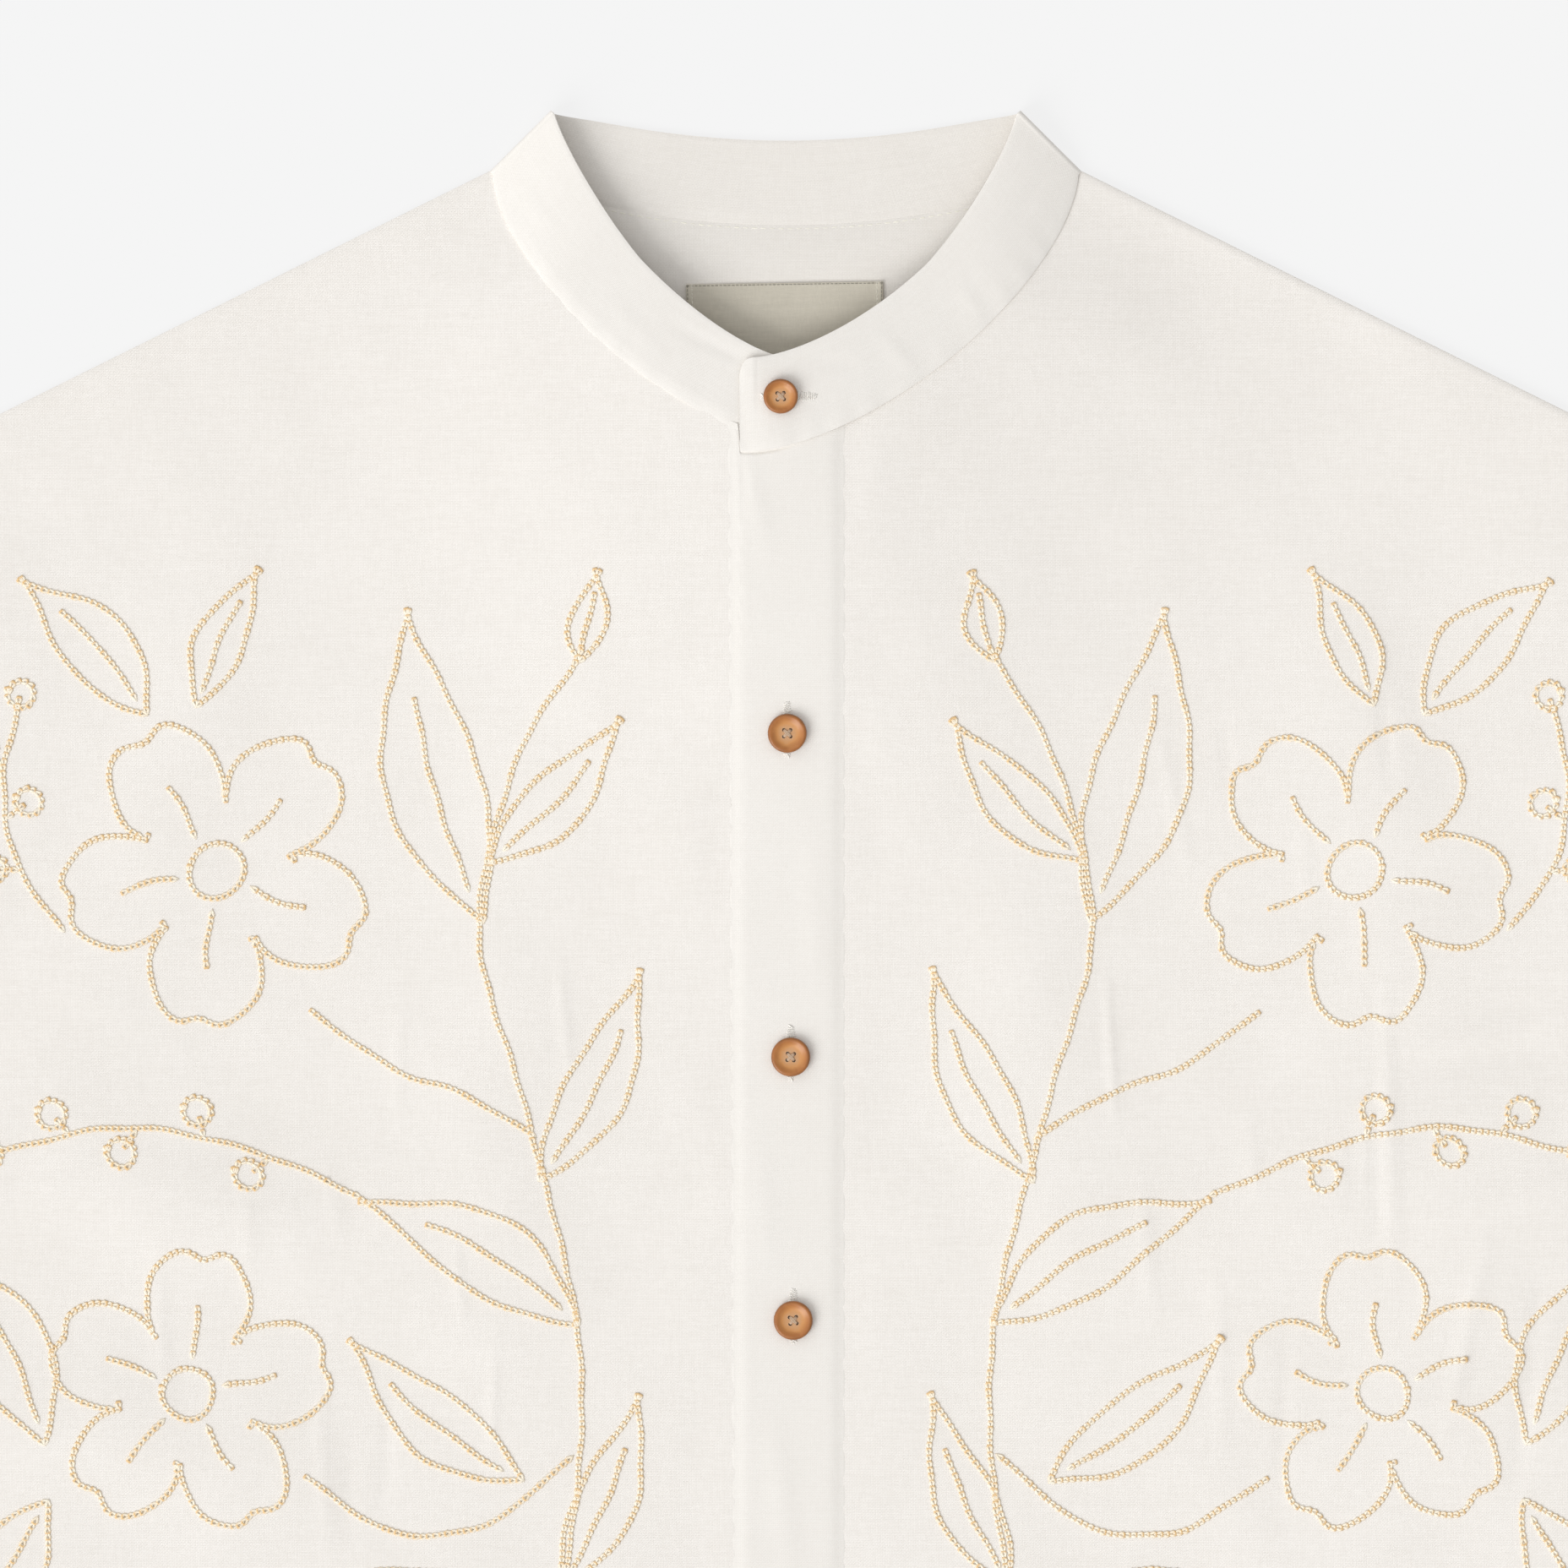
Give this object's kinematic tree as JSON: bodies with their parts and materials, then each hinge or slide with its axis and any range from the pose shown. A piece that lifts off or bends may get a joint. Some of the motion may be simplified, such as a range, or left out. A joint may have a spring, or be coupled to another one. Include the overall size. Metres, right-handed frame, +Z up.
{
  "type": "linen shirt",
  "caption": "Short-sleeved band-collar shirt of open-weave linen, buttoned to the neck and laid flat on its back panel with the collar standing up a little.",
  "frame": {"origin": "on the surface it lies on, under the middle of the whole shirt's length and width", "axes": "+Z up off the surface, +Y towards the collar, +X to the right as the shirt is seen from above"},
  "size_m": [0.9476, 0.76, 0.0187],
  "materials": {
    "linen": "matte open-weave linen",
    "dense_linen": "matte doubled linen",
    "label_weave": "matte woven tape",
    "horn": "satin amber horn"
  },
  "bodies": {
    "root": {"back": "linen", "front_left": "linen", "front_right": "linen", "placket": "dense_linen", "collar_band": "dense_linen", "sleeve_left": "linen", "sleeve_right": "linen", "neck_label": "label_weave", "button_collar": "horn", "button_1": "horn", "button_2": "horn", "button_3": "horn", "button_4": "horn", "button_5": "horn", "button_6": "horn"}
  },
  "joints": []
}
